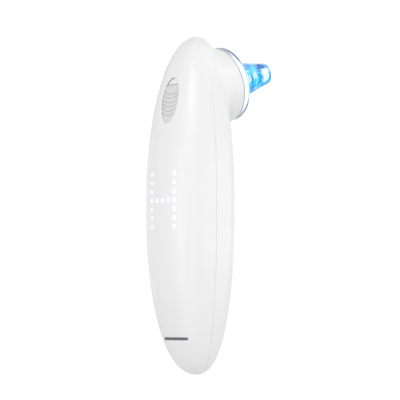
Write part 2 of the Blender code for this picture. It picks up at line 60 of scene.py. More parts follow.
# The body's form. Its front stays within 0.4 mm of the CAD solid's: fuller towards its sides, and
# lower nearer its middle.
HALF_HEIGHT = 85.0 * MM
HALF_WIDTH = 20.2 * MM
FRONT_DEPTH = 21.4 * MM
REAR_DEPTH = 13.5 * MM
FRONT_CROWN = 2.7
FRONT_CORNER = 6.1
REAR_SQUARENESS = 3.9
UPPER_TAPER = 2.11
LOWER_TAPER = 2.26
BOW = 0.8 * MM  # how far the two ends lie behind the middle
WALL = 2.0 * MM
SEAM_FORWARD = 3.0 * MM  # how far the seam comes forward between its ends
SEAM_EXPONENT = 2.44
FORWARD, BACKWARD = -1, 1  # the side of the seam that a cover lies to

# The collar and the nozzle axis.
NOZZLE_TILT = math.radians(14.7)
RIM = np.array([0, 15.2 * MM, 61.2 * MM])
AXIS = np.array([0, math.cos(NOZZLE_TILT), math.sin(NOZZLE_TILT)])
ACROSS = np.array([1.0, 0, 0])
UPWARD = np.cross(ACROSS, AXIS)
RIM_RADIUS = 19.2 * MM
RIM_WALL = 2.3 * MM
BOWL_DEPTH = 12.0 * MM
BOWL_SQUARENESS = 2.6
CORE_DEPTH = 9.0 * MM  # from the rim to the core point, which is inside the body and the bowl
NECK_BLEND = 5.5 * MM  # how wide the soft valley between the body and the bowl is, to each side
LINING_BLEND = 0.6 * MM

# The openings in the rear cover, in mm.
PORT_CENTRE = (0, 3.7, -82)
PORT_HALF = (4.8, 1.9)
PORT_CORNER = 1.4
VENT_COUNT = 3
VENT_PITCH = 3.2
FIRST_VENT_Z = -40
VENT_Y = 13
VENT_HALF = (4.0, 0.6)
VENT_CORNER = 0.6
CUT_LENGTH = 12

# The slider in its window, and the floor of the window under it.
WINDOW_Z = 51.85 * MM
WINDOW_HALF_WIDTH = 6.45 * MM
WINDOW_HALF_HEIGHT = 11.55 * MM
POCKET_INSET = 0.6 * MM  # the wall's thickness in the pocket behind the window
POCKET_Z = 50.35 * MM
POCKET_HALF_WIDTH = 8.7 * MM
POCKET_HALF_HEIGHT = 14.2 * MM
KNOB_INSET = 0.78 * MM
KNOB_THICKNESS = 0.34 * MM
GROOVE_COUNT = 6
GROOVE_PITCH = 2.15 * MM
GROOVE_DEPTH = 0.22 * MM
GROOVE_WIDTH = 0.62 * MM
GROOVE_RADIUS = 10.5 * MM
EDGE_GROOVE = 0.4 * MM  # from the slider's top edge to the straight groove along it
FIRST_GROOVE_Z = 55.0 * MM
KNOB_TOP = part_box("slide_knob")[1].z
KNOB_GRID = 0.16 * MM  # the spacing of the plate's points
TRACK_INSET = 1.24 * MM
TRACK_FALL = 0.27 * MM  # deeper towards the lower end, where the sliding knob comes closer
TRACK_FALL_TOP = 58 * MM
TRACK_FALL_HEIGHT = 20 * MM
TRACK_SIDE_FALL = 0.3 * MM  # deeper at the sides, clear of the knob's edges
TRACK_THICKNESS = 0.8 * MM
TRACK_GRID = 0.45 * MM
PLATE_EDGE = 0.3 * MM
SLOT_Z = 53.25 * MM
SLOT_HALF_WIDTH = 2.2 * MM
SLOT_HALF_HEIGHT = 3.75 * MM
STEM_FRONT = -16.1  # this and the next three in mm
STEM_BOTTOM = 49.9
STEM_TOP = 54.1
STEM_CAP = 0.45  # from the stem's front to the middle of its end caps

# The display and the print.
DOT_PITCH = 4.38 * MM
DOT_RADIUS = 1.5 * MM
HALO_RADIUS = 2.0 * MM
DOT_SIDES = 40
DOT_PROUD = 0.02 * MM
DISPLAY_Z = 1.73 * MM
LETTER = ("X   X", "X   X", "X   X", "XXXXX", "X   X", "X   X", "X   X")
BAR_PLACE = (0.8 * MM, -67 * MM)
BAR_HALF = (9.0, 0.75)  # this and the next in mm
BAR_CORNER = 0.5
BAR_PROUD = 0.03 * MM

# The suction head: its finishes, in the order that its mesh takes them, the radius of its clear
# wall and the distance from the rim at the wall's two ends, and where its rings of painted shade
# are, in mm.
CLEAR, CHANNEL, FLANGE, FLANGE_EDGE = range(4)
HEAD_FOOT = (10.0, 10.2)
HEAD_TIP = (5.6, 31.4)
SHADE_RINGS = (12.8, 17.4, 24.2, 30.6)

CASE_WHITE = (0.87, 0.87, 0.875)
CASE_ROUGHNESS = 0.335  # the render gets dark specks where it varies to below about 0.3
ROUGHNESS_RANGE = 0.03

# The studio: the azimuth, elevation and power of each soft light, in degrees and watts.
SOFTBOXES = (
    (20, 35, 1.65),
    (40, 35, 1.9),
    (60, 35, 0.8),
    (80, 35, 1.1),
    (160, 35, 1.4),
    (-140, 35, 0.5),
    (-40, 0, 0.5),
    (-20, 0, 1.1),
    (0, 0, 0.7),
    (60, 0, 0.8),
    (80, 0, 0.5),
    (120, 0, 0.6),
    (140, 0, 1.6),
    (-85, 0, 0.6),
    (-130, 5, 2.5),
    (-165, 0, 0.7),
)
SOFTBOX_SIZE = 0.5
SOFTBOX_DISTANCE = 1.2
WORLD_LIGHT = 0.52
BACKDROP_LIGHT = 1.02
FLOOR_Z = -0.42
FLOOR_SIZE = 5.0

CAMERA_AZIMUTH = 50.65
CAMERA_ELEVATION = -2.825
CAMERA_DISTANCE = 1.2045
CAMERA_RIGHT = 2.16 * MM
CAMERA_UP = 2.57 * MM
LENS = 215.67
SENSOR = 36.0

# Finer than the CAD model.
EDGE = 0.3 * MM  # the rounding of the covers' edges
ROUND = 160  # steps round each turned piece
SPOKES = 256  # steps round each cover
SKIN_RINGS = 120
LINING_RINGS = 60
SKIN_SPACING = 1.25  # above 1, the rings of the rear cover lie closer at the collar's rim
PATCH_RINGS = 7
WELD = 0.0004 * MM  # closer points become one
CREASE = math.radians(38)
CAD_CREASE = math.radians(30)


# Meshes


def smooth(mesh, crease=CREASE):
    mesh.shade_smooth()
    mesh.set_sharp_from_angle(angle=crease)


def add_object(name, data):
    obj = bpy.data.objects.new(name, data)
    bpy.context.scene.collection.objects.link(obj)
    return obj


def make_object(name, mesh, *materials):
    bm = bmesh.new()
    bm.from_mesh(mesh)
    loose = [vertex for vertex in bm.verts if not vertex.link_faces]
    bmesh.ops.delete(bm, geom=loose, context="VERTS")
    bmesh.ops.remove_doubles(bm, verts=bm.verts, dist=WELD)
    bmesh.ops.recalc_face_normals(bm, faces=bm.faces)
    bm.to_mesh(mesh)
    bm.free()
    smooth(mesh)
    for material in materials:
        mesh.materials.append(material)
    return add_object(name, mesh)


def loft(name, rings, *materials, finish=()):
    """A closed skin through rings of points, the last joined to the first. The finish is the
    number of the material that each ring takes."""
    rings = np.asarray(rings)
    ring_count, spoke_count = rings.shape[:2]
    ring, spoke = np.meshgrid(np.arange(ring_count), np.arange(spoke_count), indexing="ij")
    next_ring = (ring + 1) % ring_count
    next_spoke = (spoke + 1) % spoke_count
    corners = [
        ring * spoke_count + spoke,
        ring * spoke_count + next_spoke,
        next_ring * spoke_count + next_spoke,
        next_ring * spoke_count + spoke,
    ]
    faces = np.stack(corners, axis=-1).reshape(-1, 4)
    mesh = bpy.data.meshes.new(name)
    mesh.from_pydata(rings.reshape(-1, 3).tolist(), [], faces.tolist())
    if len(finish):
        numbers = np.repeat(finish, spoke_count).astype(np.int32)
        mesh.polygons.foreach_set("material_index", numbers)
    return make_object(name, mesh, *materials)


def round_corners(profile, radius, steps=4):
    """A closed outline with each corner eased into a short curve, but for corners on the axis."""
    profile = np.asarray(profile, float)
    eased = []
    for before, corner, after in zip(np.roll(profile, 1, 0), profile, np.roll(profile, -1, 0)):
        if corner[0] <= 0:
            eased.append(corner)
            continue
        back = before - corner
        ahead = after - corner
        back_length = np.linalg.norm(back)
        ahead_length = np.linalg.norm(ahead)
        reach = min(radius, 0.42 * back_length, 0.42 * ahead_length)
        start = corner + back / back_length * reach
        end = corner + ahead / ahead_length * reach
        for step in range(steps + 1):
            t = step / steps
            eased.append((1 - t) ** 2 * start + 2 * t * (1 - t) * corner + t**2 * end)
    return np.array(eased)


def circle(radius, along, turn):
    """Points round the nozzle axis at a distance along it from the rim."""
    turn = np.asarray(turn)[:, None]
    return RIM + AXIS * along + radius * (np.cos(turn) * ACROSS + np.sin(turn) * UPWARD)


def turned(name, profile, *materials, radius=0.2, choose=None):
    """A closed profile of (radius, distance from the rim), in mm, turned about the nozzle axis.
    The choice for each place on it is the number of its material."""
    eased = round_corners(profile, radius)
    turn = np.linspace(0, 2 * math.pi, ROUND, endpoint=False)
    rings = [circle(r * MM, along * MM, turn) for r, along in eased]
    middles = (eased + np.roll(eased, -1, 0)) / 2
    finish = [choose(r, along) for r, along in middles] if choose else ()
    return loft(name, rings, *materials, finish=finish)


def slab(name, outer, inner, material, keep=None):
    """A closed plate between two grids of points, without the cells that keep leaves out."""
    rows, columns = outer.shape[:2]
    count = rows * columns
    points = np.concatenate([outer.reshape(-1, 3), inner.reshape(-1, 3)])
    keep = np.ones((rows - 1, columns - 1), bool) if keep is None else keep
    faces = []
    edges = {}
    for row, column in zip(*np.nonzero(keep)):
        first = int(row * columns + column)
        cell = [first, first + 1, first + columns + 1, first + columns]
        faces.append(cell)
        faces.append([corner + count for corner in reversed(cell)])
        for a, b in zip(cell, cell[1:] + cell[:1]):
            if (b, a) in edges:
                del edges[(b, a)]
            else:
                edges[(a, b)] = True
    for a, b in edges:
        faces.append([b, a, a + count, b + count])
    mesh = bpy.data.meshes.new(name)
    mesh.from_pydata(points.tolist(), [], faces)
    return make_object(name, mesh, material)


def eased_edge(distance, radius):
    """How far a surface falls away at a distance from its rounded edge."""
    short = np.clip(radius - distance, 0, radius)
    return radius - np.sqrt(np.maximum(radius**2 - short**2, 0))


def halved(low, high, beyond, steps=48):
    """Where beyond turns true between low and high, found by halving."""
    for _ in range(steps):
        middle = (low + high) / 2
        above = beyond(middle)
        high = np.where(above, middle, high)
        low = np.where(above, low, middle)
    return (low + high) / 2


# The body's form


def taper(height, half_height):
    """The size of the body's section at a height, as a share of the middle's."""
    power = np.where(height > 0, UPPER_TAPER, LOWER_TAPER)
    return np.maximum(1 - np.abs(height / half_height) ** power, 0) ** (1 / power)


def body_points(direction, inset):
    """The surface points, moved in by inset, that unit directions map to."""
    half_height = HALF_HEIGHT - inset
    height = direction[..., 2] * half_height
    angle = np.arctan2(direction[..., 1], direction[..., 0])
    front = direction[..., 1] < 0
    depth = np.where(front, FRONT_DEPTH, REAR_DEPTH) - inset
    across = np.abs(np.cos(angle)) / (HALF_WIDTH - inset)
    along = np.abs(np.sin(angle)) / depth
    crown = np.where(front, FRONT_CROWN, REAR_SQUARENESS)
    corner = np.where(front, FRONT_CORNER, REAR_SQUARENESS)
    furthest = np.full(angle.shape, HALF_WIDTH + FRONT_DEPTH)

    def outside(reach):
        return (reach * across) ** crown + (reach * along) ** corner > 1

    reach = taper(height, half_height) * halved(np.zeros(angle.shape), furthest, outside, 36)
    lean = BOW * (height / HALF_HEIGHT) ** 2
    return np.stack([reach * np.cos(angle), reach * np.sin(angle) + lean, height], axis=-1)


def front_points(x, z, inset):
    """Points of the front's surface, moved in by inset, at places across and up it."""
    size = taper(z, HALF_HEIGHT - inset)
    share = np.minimum(np.abs(x) / ((HALF_WIDTH - inset) * size), 1)
    y = -(FRONT_DEPTH - inset) * size * (1 - share**FRONT_CROWN) ** (1 / FRONT_CORNER)
    return np.stack([x, y + BOW * (z / HALF_HEIGHT) ** 2, z], axis=-1)


def seam_y(height):
    """Where the two covers meet."""
    share = np.minimum(np.abs(height) / HALF_HEIGHT, 1)
    return BOW * share**2 - SEAM_FORWARD * (1 - share**SEAM_EXPONENT)


class Spokes:
    """Directions that leave one centre direction all round, by their angle from it."""

    def __init__(self, centre):
        self.centre = centre / np.linalg.norm(centre)
        turn = np.linspace(0, 2 * math.pi, SPOKES, endpoint=False)[:, None]
        self.side = np.cos(turn) * ACROSS + np.sin(turn) * np.cross(self.centre, ACROSS)

    def at(self, angle):
        angle = np.asarray(angle)[:, None]
        return np.cos(angle) * self.centre + np.sin(angle) * self.side

    def where(self, measure, inset=0.0, reach=3.0):
        """The angle on each spoke, up to reach, where a measure of the surface turns positive."""

        def beyond(angle):
            return measure(body_points(self.at(angle), inset)) > 0

        return halved(np.zeros(SPOKES), np.full(SPOKES, reach), beyond)

    def seam(self, side, back, inset):
        """The angle at a distance back from the seam, for the cover that lies to a side of it."""
        return self.where(lambda p: side * (seam_y(p[..., 2]) - p[..., 1]) + GAP / 2 + back, inset)

    def seam_edge(self, side):
        """Rings of the rounded edge at the seam."""
        insets = [(back, float(eased_edge(back, EDGE))) for back in eased_steps(EDGE)]
        return [body_points(self.at(self.seam(side, *place)), place[1]) for place in insets]


def eased_steps(radius, steps=4):
    """Distances from a rounded edge, closest together at the edge."""
    return [radius * (1 - math.sin(math.pi / 2 * step / steps)) for step in range(steps + 1)]


def between(spokes, start, end, inset, count, power=1.0, shape=None):
    """Rings of the surface between two angles on each spoke, without the ring at the end."""
    rings = []
    for step in range(count):
        angle = start + (end - start) * (step / count) ** power
        points = body_points(spokes.at(angle), inset)
        rings.append(shape(points) if shape else points)
    return rings


# The case


def window_share(points, extra=0.0):
    """Below zero inside the oval window, made larger by extra, and above zero outside it."""
    across = points[..., 0] / (WINDOW_HALF_WIDTH + extra)
    up = (points[..., 2] - WINDOW_Z) / (WINDOW_HALF_HEIGHT + extra)
    return across**2 + up**2 - 1


def pocket_share(points):
    """Below zero in the thinner part of the wall round the window, and above zero outside it."""
    across = np.abs(points[..., 0]) / POCKET_HALF_WIDTH
    up = np.abs(points[..., 2] - POCKET_Z) / POCKET_HALF_HEIGHT
    return np.maximum(across, up) - 1


def make_front_cover(white):
    lift = WINDOW_Z / HALF_HEIGHT
    spokes = Spokes(np.array([0, -math.sqrt(1 - lift**2), lift]))

    def at_window(back, inset):
        angle = spokes.where(lambda p: window_share(p, back), inset, 1.2)
        return body_points(spokes.at(angle), inset)

    rings = [at_window(0, POCKET_INSET)]
    for back in reversed(eased_steps(EDGE)[:-1] + [0.0]):
        rings.append(at_window(back, float(eased_edge(back, EDGE))))
    start = spokes.where(lambda p: window_share(p, EDGE), 0.0, 1.2)
    end = spokes.seam(FORWARD, EDGE, 0.0)
    rings += between(spokes, start, end, 0.0, SKIN_RINGS)[1:]
    rings += spokes.seam_edge(FORWARD)
    pocket_out = spokes.where(pocket_share, WALL, 1.0)
    pocket_in = spokes.where(pocket_share, POCKET_INSET, 1.0)
    window = spokes.where(window_share, POCKET_INSET, 1.2)
    rings += between(spokes, spokes.seam(FORWARD, 0, WALL), pocket_out, WALL, LINING_RINGS)
    rings.append(body_points(spokes.at(pocket_out), WALL))
    rings += between(spokes, pocket_in, window, POCKET_INSET, 6)
    return loft("case_front", rings, white)


def bowl_reach(radius, depth):
    """The bowl's distance from its core point, by the angle from the nozzle axis."""
    angles = np.linspace(0.4, math.pi, 3000)

    def outside(reach):
        behind = np.maximum(CORE_DEPTH - reach * np.cos(angles), 0) / depth
        out = reach * np.sin(angles) / radius
        return behind**BOWL_SQUARENESS + out**BOWL_SQUARENESS > 1

    return angles, halved(np.zeros(len(angles)), np.full(len(angles), 60 * MM), outside)


def bowl_radius(radius, depth, behind):
    """The bowl's radius at a distance behind its rim."""
    return radius * (1 - (behind / depth) ** BOWL_SQUARENESS) ** (1 / BOWL_SQUARENESS)


CORE = RIM - AXIS * CORE_DEPTH


def from_core(points):
    """The way, the distance and the angle from the nozzle axis, from the core point to others."""
    away = points - CORE
    distance = np.linalg.norm(away, axis=-1)
    return away, distance, np.arccos(np.clip(away @ AXIS / distance, -1, 1))


def swollen(bowl, blend):
    """A function that moves the body's points out to the bowl, with a soft valley between them."""

    def move(points):
        away, distance, angle = from_core(points)
        reach = np.interp(angle, *bowl)
        near = np.maximum(blend - np.abs(distance - reach), 0) / blend
        far = np.maximum(distance, reach) + near**2 * blend / 4
        return CORE + away * (far / distance)[..., None]

    return move


def make_rear_cover(white):
    lift = (CORE[2] + 1 * MM) / HALF_HEIGHT
    spokes = Spokes(np.array([0, math.sqrt(1 - lift**2), lift]))
    skin = swollen(bowl_reach(RIM_RADIUS, BOWL_DEPTH), NECK_BLEND)
    hollow_radius = RIM_RADIUS - RIM_WALL
    hollow_depth = BOWL_DEPTH - RIM_WALL
    lining = swollen(bowl_reach(hollow_radius, hollow_depth), LINING_BLEND)

    def rim_angle(radius, depth, inset):
        """Where the wall of the bowl starts, just behind the rounding of its rim."""
        start = math.atan2(bowl_radius(radius, depth, EDGE), CORE_DEPTH - EDGE)
        return spokes.where(lambda p: from_core(p)[2] - start, inset, 1.6)

    start = rim_angle(RIM_RADIUS, BOWL_DEPTH, 0.0)
    away = body_points(spokes.at(start), 0.0) - CORE
    turn = np.arctan2(away @ UPWARD, away @ ACROSS)
    rings = []
    quarter = [math.pi / 2 * step / 5 for step in range(6)]
    for angle in quarter[:-1]:
        radius = hollow_radius + EDGE * (1 - math.cos(angle))
        rings.append(circle(radius, -EDGE * (1 - math.sin(angle)), turn))
    for angle in quarter:
        radius = RIM_RADIUS - EDGE * (1 - math.sin(angle))
        rings.append(circle(radius, -EDGE * (1 - math.cos(angle)), turn))
    end = spokes.seam(BACKWARD, EDGE, 0.0)
    rings += between(spokes, start, end, 0.0, SKIN_RINGS, SKIN_SPACING, skin)[1:]
    rings += spokes.seam_edge(BACKWARD)
    start = rim_angle(hollow_radius, hollow_depth, WALL)
    end = spokes.seam(BACKWARD, 0, WALL)
    inner = between(spokes, start, end, WALL, LINING_RINGS, SKIN_SPACING, lining)
    rings.append(body_points(spokes.at(end), WALL))
    rings += inner[:0:-1]
    cover = loft("case_rear", rings, white)
    cutters = [prism("port_cut", PORT_CENTRE, PORT_HALF, PORT_CORNER, "Z")]
    for number in range(VENT_COUNT):
        centre = (0, VENT_Y, FIRST_VENT_Z - VENT_PITCH * number)
        cutters.append(prism(f"vent_cut_{number + 1}", centre, VENT_HALF, VENT_CORNER, "Y"))
    return cut_away(cover, cutters)


def prism(name, centre, half, corner, axis):
    """A prism of rounded-rectangle section along an axis, in mm, to cut an opening with."""
    outline = rounded_rectangle(half[0], half[1], corner, 6)
    u = outline[:, 0]
    v = outline[:, 1]
    rings = []
    for scale, end in ((0, -1), (1, -1), (1, 1), (0, 1)):
        w = np.full(len(u), end * CUT_LENGTH / 2)
        parts = (u * scale, v * scale, w) if axis == "Z" else (u * scale, w, v * scale)
        rings.append((np.stack(parts, axis=-1) + np.array(centre)) * MM)
    return loft(name, rings)


def rounded_rectangle(half_width, half_height, corner, steps):
    points = []
    for quarter, (right, up) in enumerate(((1, 1), (-1, 1), (-1, -1), (1, -1))):
        for step in range(steps + 1):
            angle = math.pi / 2 * (quarter + step / steps)
            x = right * (half_width - corner) + corner * math.cos(angle)
            y = up * (half_height - corner) + corner * math.sin(angle)
            points.append((x, y))
    return np.array(points)


def finer(outline, steps):
    """A closed outline with each of its sides in even steps."""
    ends = zip(outline, np.roll(outline, -1, 0))
    return np.concatenate([np.linspace(start, end, steps + 1)[:-1] for start, end in ends])


def cut_away(obj, cutters):
    """Takes the cutters' shapes out of a piece."""
    for cutter in cutters:
        modifier = obj.modifiers.new(cutter.name, "BOOLEAN")
        modifier.operation = "DIFFERENCE"
        modifier.object = cutter
    bpy.context.view_layer.update()
    shaped = obj.evaluated_get(bpy.context.evaluated_depsgraph_get())
    mesh = bpy.data.meshes.new_from_object(shaped)
    obj.modifiers.clear()
    obj.data = mesh
    smooth(mesh)
    for cutter in cutters:
        bpy.data.objects.remove(cutter)
    return obj


# The slider


def edge_lines(low, high, spacing, radius):
    """Places across a plate: even in the middle, and close together at its two rounded edges."""
    ease = np.array([0, 0.04, 0.15, 0.35, 0.65]) * radius
    count = max(int(round((high - low - 2 * radius) / spacing)), 2)
    middle = np.linspace(low + radius, high - radius, count + 1)
    return np.concatenate([low + ease, middle, high - ease[::-1]])


def plate_grids(half_width, bottom, top, inset, thickness, spacing, relief):
    """The outer and inner grids of a plate that follows the front, with rounded edges."""
    x, z = np.meshgrid(
        edge_lines(-half_width, half_width, spacing, PLATE_EDGE),
        edge_lines(bottom, top, spacing, PLATE_EDGE),
    )
    side = half_width - np.abs(x)
    end = np.minimum(z - bottom, top - z)
    fall = np.maximum(eased_edge(side, PLATE_EDGE), eased_edge(end, PLATE_EDGE)) + relief(x, z)
    return x, z, front_points(x, z, inset + fall), front_points(x, z, inset + thickness)


def groove_depth(x, z):
    """The thumb grooves: equal arcs, one below the other, and a straight one at the top edge."""
    below = FIRST_GROOVE_Z + x**2 / (2 * GROOVE_RADIUS) - z
    number = np.clip(np.round(below / GROOVE_PITCH), 0, GROOVE_COUNT - 1)
    from_line = (below - number * GROOVE_PITCH) / (GROOVE_WIDTH / 2)
    from_top = (z - KNOB_TOP + EDGE_GROOVE) / (GROOVE_WIDTH / 2)
    return GROOVE_DEPTH * np.maximum(np.exp(-(from_line**2)), np.exp(-(from_top**2)))


def make_slider(grey, white):
    """The thumb plate, the stem on its back, and the floor of the window."""
    low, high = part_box("slide_knob")
    _, _, outer, inner = plate_grids(
        high.x, low.z, high.z, KNOB_INSET, KNOB_THICKNESS, KNOB_GRID, groove_depth
    )
    knob = slab("thumb_plate", outer, inner, grey)
    stem = make_stem(grey)
    stem.parent = knob

    low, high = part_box("slider_track")

    def fall(x, height):
        lower = TRACK_FALL * np.clip((TRACK_FALL_TOP - height) / TRACK_FALL_HEIGHT, 0, 1.2)
        return lower + TRACK_SIDE_FALL * (x / high.x) ** 6

    x, z, outer, inner = plate_grids(
        high.x, low.z, high.z, TRACK_INSET, TRACK_THICKNESS, TRACK_GRID, fall
    )
    middle_x = (x[:-1, :-1] + x[1:, 1:]) / 2
    middle_z = (z[:-1, :-1] + z[1:, 1:]) / 2
    in_slot_width = np.abs(middle_x) < SLOT_HALF_WIDTH
    in_slot_height = np.abs(middle_z - SLOT_Z) < SLOT_HALF_HEIGHT
    track = slab("thumb_plate_floor", outer, inner, white, ~(in_slot_width & in_slot_height))
    return knob, stem, track


def make_stem(grey):
    """The forked stem under the thumb plate, which takes the switch's lever."""
    outline = [(-1.9, 0), (1.9, 0), (1.9, 3.05), (0.95, 3.05), (0.95, 1.65)]
    outline += [(-0.95, 1.65), (-0.95, 3.05), (-1.9, 3.05)]
    aside = (5, 0)  # clear of the axis, on which round_corners leaves corners sharp
    section = round_corners(np.array(outline) + aside, 0.25) - aside
    rings = []
    for share, height in ((0, STEM_BOTTOM), (1, STEM_BOTTOM), (1, STEM_TOP), (0, STEM_TOP)):
        x = section[:, 0] * share
        y = STEM_FRONT + STEM_CAP + (section[:, 1] - STEM_CAP) * share
        rings.append(np.stack([x, y, np.full(len(x), height)], axis=-1) * MM)
    return loft("thumb_plate_stem", rings, grey)


# What is on the front: the lit dots and the print


def front_patch(name, outlines, proud, material):
    """Thin patches on the front's surface, each from an outline of (x, z) about its middle."""
    shares = np.linspace(0, 0.93, PATCH_RINGS)
    levels = [(share, -proud) for share in shares] + [(1, 0)]
    levels += [(share, proud) for share in reversed(shares)]
    made = []
    for number, (middle, outline) in enumerate(outlines):
        rings = []
        for share, inset in levels:
            x = middle[0] + outline[:, 0] * share
            z = middle[1] + outline[:, 1] * share
            rings.append(front_points(x, z, inset))
        made.append(loft(f"{name}_{number + 1}", rings, material))
    return made


def joined(name, objects):
    """One object from several, so that a pattern of small pieces is one piece."""
    bm = bmesh.new()
    for obj in objects:
        bm.from_mesh(obj.data)
    first = objects[0]
    mesh = first.data
    bm.to_mesh(mesh)
    bm.free()
    smooth(mesh)
    for obj in objects[1:]:
        bpy.data.objects.remove(obj)
    first.name = name
    return first


def make_dots(glow):
    turn = np.linspace(0, 2 * math.pi, DOT_SIDES, endpoint=False)
    outline = np.stack([np.cos(turn), np.sin(turn)], axis=-1) * HALO_RADIUS
    places = []
    for row, line in enumerate(LETTER):
        for column, mark in enumerate(line):
            if mark == "X":
                x = (column - len(line) // 2) * DOT_PITCH
                z = DISPLAY_Z + (len(LETTER) // 2 - row) * DOT_PITCH
                places.append(((x, z), outline))
    return joined("display_dots", front_patch("dot", places, DOT_PROUD, glow))


def make_print(ink):
    """A plain bar where such cleaners carry a name."""
    outline = finer(rounded_rectangle(*BAR_HALF, BAR_CORNER, 2) * MM, 20)
    return joined("printed_bar", front_patch("bar", [(BAR_PLACE, outline)], BAR_PROUD, ink))


# The suction head and what shows through it


def make_suction_head(*finishes):
    """The head. Its finishes are the clear wall, the lit channel, the flange and its edge."""
    outside = [(4.25, 31.4), HEAD_TIP, HEAD_FOOT, (10.5, 9.3), (12.4, 7.7)]
    outside += [(15.4, 5.7), (17.7, 4.7), (18.8, 4.1), (18.8, 3.1), (18.8, 1.2), (17.5, 1.2)]
    underside = [(17.5, 3.1), (15.0, 4.2), (11.8, 6.2), (9.6, 7.9), (9.0, 7.4), (9.0, 1.8)]
    channel = [(7.75, 1.8), (7.75, 10.2), (6.6, 10.2), (6.0, 17.0), (5.2, 17.0)]
    channel += [(4.9, 23.5), (4.25, 23.5)]

    def choose(radius, along):
        slope = (HEAD_TIP[0] - HEAD_FOOT[0]) / (HEAD_TIP[1] - HEAD_FOOT[1])
        wall = HEAD_FOOT[0] + (along - HEAD_FOOT[1]) * slope
        if radius > 17.6 and along > 3.0:
            return FLANGE_EDGE
        if radius > 12.0:
            return FLANGE
        inside = radius < wall - 0.4 and 1.9 < along < 31.2
        return CHANNEL if inside and (radius < 8.6 or along > 7.9) else CLEAR

    return turned("clear_head", outside + underside + channel, *finishes, radius=0.5, choose=choose)


def make_nozzle_parts(materials):
    """The turned pieces round the nozzle axis, by the CAD node that each stands for."""
    seat = [(5.5, 7.5), (7.3, 7.5), (7.3, 4.9), (6.6, 4.9), (6.6, 3.5), (7.3, 3.5)]
    seat += [(7.3, -3.4), (15.4, -3.4), (15.4, -5.0), (2.4, -5.0), (2.4, -8.6)]
    seat += [(1.2, -8.6), (1.2, -4.4), (5.5, -3.6)]
    turn = np.linspace(0, 2 * math.pi, 24, endpoint=False)
    section = [(7.12 + 0.42 * math.cos(a), 4.2 + 0.42 * math.sin(a)) for a in turn]
    seal = [(17, 0.9), (18.9, 0.9), (18.9, 0.3), (17, 0.3)]
    glow = [(7.9, 0.3), (16.3, 0.3), (16.3, -0.9), (7.9, -0.9)]
    sponge = [(0, 9.75), (7.2, 9.75), (7.2, 7.95), (0, 7.95)]
    parts = {}
    for node, name, profile, finish, radius in (
        ("nozzle_seat", "spigot_and_seat", seat, "inner_white", 0.25),
        ("seat_o_ring", "spigot_ring", section, "rubber_black", 0.02),
        ("collar_seal", "rim_ring", seal, "seal_grey", 0.2),
        ("light_ring", "glow_ring", glow, "frosted", 0.3),
        ("filter_sponge", "filter_disc", sponge, "foam", 0.6),
    ):
        parts[node] = turned(name, profile, materials[finish], radius=radius)
    return parts


def soften(obj, depth, size):
    """The uneven face of cut foam: small dents that follow a fixed pattern."""
    for vertex in obj.data.vertices:
        place = vertex.co / size
        dent = math.sin(place.x * 2.1 + place.z) * math.cos(place.z * 2.7 - place.y)
        vertex.co -= vertex.normal * depth * (0.5 + 0.5 * dent)
    return obj


def make_pad(name, node, foam):
    """A foam pad with a crowned face, inside its CAD block."""
    low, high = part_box(node)
    middle = (low + high) / 2
    half = (high - low) / 2
    outline = finer(rounded_rectangle(half.x / MM, half.z / MM, 1.2, 5) * MM, 3)
    rings = []
    for share, depth in ((0, 1), (0.5, 1), (0.8, 0.98), (0.93, 0.86), (1, 0.55)):
        rings.append((share, -depth * half.y))
    rings += [(share, -depth) for share, depth in reversed(rings)]
    points = []
    for share, depth in rings:
        x = middle.x + outline[:, 0] * share
        z = middle.z + outline[:, 1] * share
        points.append(np.stack([x, np.full(len(x), middle.y + depth), z], axis=-1))
    return soften(loft(name, points, foam), 0.08 * MM, 0.9 * MM)


# Materials. Coordinates are the object's own, which are the frame's, in metres.


def add_node(tree, kind, inputs=(), **settings):
    node = tree.nodes.new("ShaderNode" + kind)
    for name, value in settings.items():
        setattr(node, name, value)
    for socket, value in dict(inputs).items():
        if isinstance(value, bpy.types.NodeSocket):
            tree.links.new(value, node.inputs[socket])
        else:
            node.inputs[socket].default_value = value
    return node


def shade(name, colour, roughness, **more):
    material = bpy.data.materials.new(name)
    material.use_nodes = True
    material.diffuse_color = (*colour, 1)
    shader = material.node_tree.nodes["Principled BSDF"]
    shader.inputs["Base Color"].default_value = (*colour, 1)
    shader.inputs["Roughness"].default_value = roughness
    for socket, value in more.items():
        shader.inputs[socket.replace("_", " ")].default_value = value
    return material, material.node_tree, shader


def calculate(tree, operation, *values):
    inputs = dict(enumerate(values))
    return add_node(tree, "Math", inputs, operation=operation).outputs[0]


def band(tree, value, middle, width):
    """One at the middle, falling to nothing at a width to each side."""
    away = calculate(tree, "ABSOLUTE", calculate(tree, "SUBTRACT", value, middle))
    inputs = {0: away, 1: 0.0, 2: width, 3: 1.0, 4: 0.0}
    node = add_node(tree, "MapRange", inputs, interpolation_type="SMOOTHSTEP")
    return node.outputs[0]


def wire(shader, **sockets):
    """Links values to a shader's sockets."""
    for name, value in sockets.items():
        shader.id_data.links.new(value, shader.inputs[name.replace("_", " ")])


def coordinates(tree):
    """The object's own coordinates."""
    return add_node(tree, "TexCoord").outputs["Object"]


def place_of(tree, stretch=(1, 1, 1)):
    """The object's coordinates, stretched."""
    return add_node(tree, "Mapping", {"Vector": coordinates(tree), "Scale": stretch}).outputs[0]


def parts_of(tree, place):
    return add_node(tree, "SeparateXYZ", {0: place}).outputs


def noise(tree, place, size, detail=3.0, roughness=0.5):
    inputs = {"Vector": place, "Scale": 1 / size, "Detail": detail, "Roughness": roughness}
    return add_node(tree, "TexNoise", inputs).outputs["Fac"]


def spread(tree, value, low, high, out_low=0.0, out_high=1.0):
    inputs = {0: value, 1: low, 2: high, 3: out_low, 4: out_high}
    return add_node(tree, "MapRange", inputs).outputs[0]


def mixed(tree, factor, first, second):
    inputs = {0: factor, 6: first, 7: second}
    return add_node(tree, "Mix", inputs, data_type="RGBA").outputs[2]


